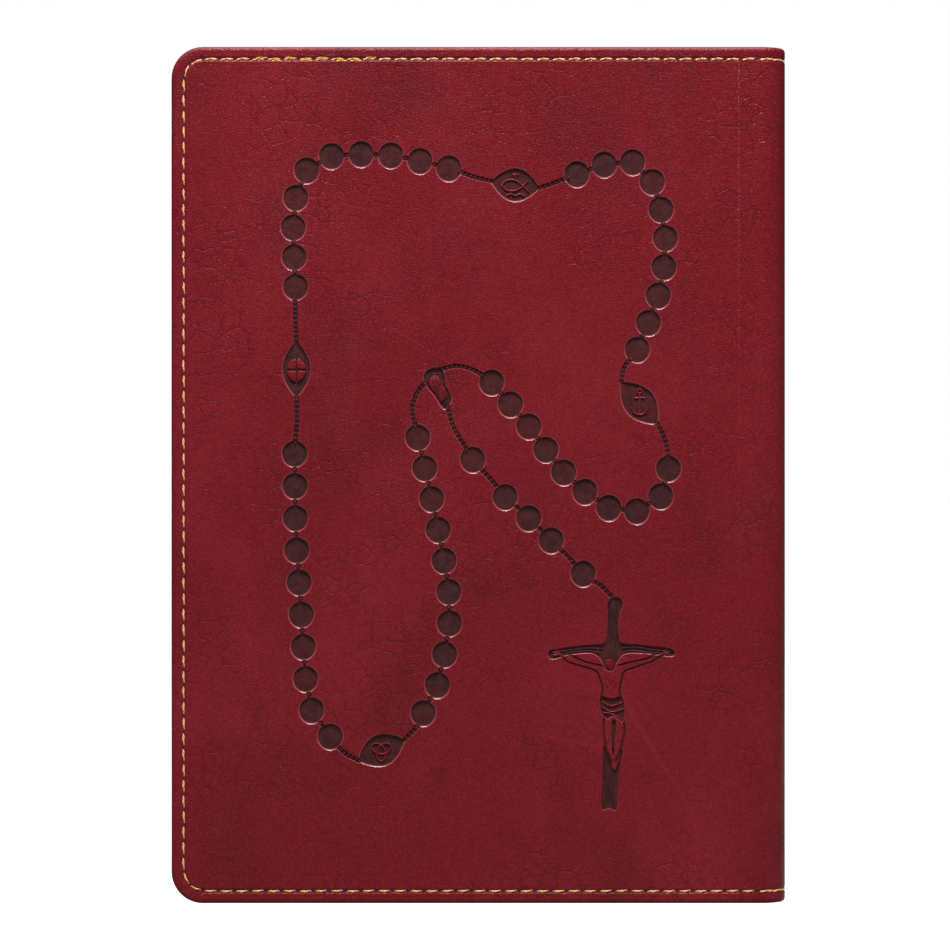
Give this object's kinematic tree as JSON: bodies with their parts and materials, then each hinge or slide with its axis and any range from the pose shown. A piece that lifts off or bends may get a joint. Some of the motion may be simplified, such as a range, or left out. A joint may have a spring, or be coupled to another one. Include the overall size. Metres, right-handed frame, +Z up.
{
  "type": "prayer book",
  "caption": "Pocket prayer book: sewn paper block in a stitched, round-cornered leather-look case whose two covers and outer leaves turn on gutter joints.",
  "frame": {"origin": "middle of the tail, where the closed book stands: bottom centre of the box", "axes": "+X towards the spine, +Y out of the front cover, -Y out of the back cover, +Z up, from tail to head"},
  "size_m": [0.1366, 0.014, 0.19],
  "materials": {
    "cover_leather": "pebbled grain, semi-matt",
    "cover_thread": "twisted golden thread",
    "cover_board": "grey board",
    "card": "manila card",
    "endpaper": "cream laid paper",
    "page_paper": "thin cream paper",
    "lining_cloth": "open mull weave",
    "sewing_thread": "linen thread",
    "band_cloth": "striped woven silk"
  },
  "bodies": {
    "text_block": {"back_flyleaf_joint": "endpaper", "front_flyleaf_joint": "endpaper", "head_band": "band_cloth", "section_01_fold": "page_paper", "section_02_fold": "page_paper", "section_03_fold": "page_paper", "section_04_fold": "page_paper", "section_05": "page_paper", "section_06": "page_paper", "section_07": "page_paper", "section_08": "page_paper", "section_09_fold": "page_paper", "section_10_fold": "page_paper", "section_11_fold": "page_paper", "section_12_fold": "page_paper", "sewing_thread": "sewing_thread", "spine_card": "card", "spine_lining": "lining_cloth", "spine_skin": "cover_leather", "spine_stitches": "cover_thread", "tail_band": "band_cloth"},
    "back_cover": {"back_cover_board": "cover_board", "back_cover_infill": "card", "back_cover_pastedown": "endpaper", "back_cover_skin": "cover_leather", "back_cover_stitches": "cover_thread"},
    "front_cover": {"front_cover_board": "cover_board", "front_cover_infill": "card", "front_cover_pastedown": "endpaper", "front_cover_skin": "cover_leather", "front_cover_stitches": "cover_thread"},
    "back_flyleaf": {"back_flyleaf": "endpaper"},
    "section_12_leaves": {"section_12_leaves": "page_paper"},
    "section_11_leaves": {"section_11_leaves": "page_paper"},
    "section_10_leaves": {"section_10_leaves": "page_paper"},
    "section_09_leaves": {"section_09_leaves": "page_paper"},
    "front_flyleaf": {"front_flyleaf": "endpaper"},
    "section_01_leaves": {"section_01_leaves": "page_paper"},
    "section_02_leaves": {"section_02_leaves": "page_paper"},
    "section_03_leaves": {"section_03_leaves": "page_paper"},
    "section_04_leaves": {"section_04_leaves": "page_paper"}
  },
  "joints": [
    {"name": "back_cover_hinge", "type": "hinge", "parent": "text_block", "child": "back_cover", "pos_m": [0.06152, -0.00713, 0.095], "axis": [0, 0, 1], "range_deg": [0, 178]},
    {"name": "front_cover_hinge", "type": "hinge", "parent": "text_block", "child": "front_cover", "pos_m": [0.06152, 0.00713, 0.095], "axis": [0, 0, -1], "range_deg": [0, 178]},
    {"name": "back_flyleaf_turn", "type": "hinge", "parent": "text_block", "child": "back_flyleaf", "pos_m": [0.05695, -0.00453, 0.095], "axis": [0, 0, 1], "range_deg": [0, 124.6]},
    {"name": "section_12_turn", "type": "hinge", "parent": "text_block", "child": "section_12_leaves", "pos_m": [0.05643, -0.00438, 0.095], "axis": [0, 0, 1], "range_deg": [0, 106.8]},
    {"name": "section_11_turn", "type": "hinge", "parent": "text_block", "child": "section_11_leaves", "pos_m": [0.05485, -0.00364, 0.095], "axis": [0, 0, 1], "range_deg": [0, 92.56]},
    {"name": "section_10_turn", "type": "hinge", "parent": "text_block", "child": "section_10_leaves", "pos_m": [0.05326, -0.00292, 0.095], "axis": [0, 0, 1], "range_deg": [0, 78.32]},
    {"name": "section_09_turn", "type": "hinge", "parent": "text_block", "child": "section_09_leaves", "pos_m": [0.05168, -0.00218, 0.095], "axis": [0, 0, 1], "range_deg": [0, 64.08]},
    {"name": "front_flyleaf_turn", "type": "hinge", "parent": "text_block", "child": "front_flyleaf", "pos_m": [0.05695, 0.00453, 0.095], "axis": [0, 0, -1], "range_deg": [0, 124.6]},
    {"name": "section_01_turn", "type": "hinge", "parent": "text_block", "child": "section_01_leaves", "pos_m": [0.05643, 0.00438, 0.095], "axis": [0, 0, -1], "range_deg": [0, 106.8]},
    {"name": "section_02_turn", "type": "hinge", "parent": "text_block", "child": "section_02_leaves", "pos_m": [0.05485, 0.00364, 0.095], "axis": [0, 0, -1], "range_deg": [0, 92.56]},
    {"name": "section_03_turn", "type": "hinge", "parent": "text_block", "child": "section_03_leaves", "pos_m": [0.05326, 0.00292, 0.095], "axis": [0, 0, -1], "range_deg": [0, 78.32]},
    {"name": "section_04_turn", "type": "hinge", "parent": "text_block", "child": "section_04_leaves", "pos_m": [0.05168, 0.00218, 0.095], "axis": [0, 0, -1], "range_deg": [0, 64.08]}
  ],
  "couplings": [
    {"joint": "back_flyleaf_turn", "follows": "back_cover_hinge", "ratio": 0.7},
    {"joint": "section_12_turn", "follows": "back_cover_hinge", "ratio": 0.6},
    {"joint": "section_11_turn", "follows": "back_cover_hinge", "ratio": 0.52},
    {"joint": "section_10_turn", "follows": "back_cover_hinge", "ratio": 0.44},
    {"joint": "section_09_turn", "follows": "back_cover_hinge", "ratio": 0.36},
    {"joint": "front_flyleaf_turn", "follows": "front_cover_hinge", "ratio": 0.7},
    {"joint": "section_01_turn", "follows": "front_cover_hinge", "ratio": 0.6},
    {"joint": "section_02_turn", "follows": "front_cover_hinge", "ratio": 0.52},
    {"joint": "section_03_turn", "follows": "front_cover_hinge", "ratio": 0.44},
    {"joint": "section_04_turn", "follows": "front_cover_hinge", "ratio": 0.36}
  ]
}
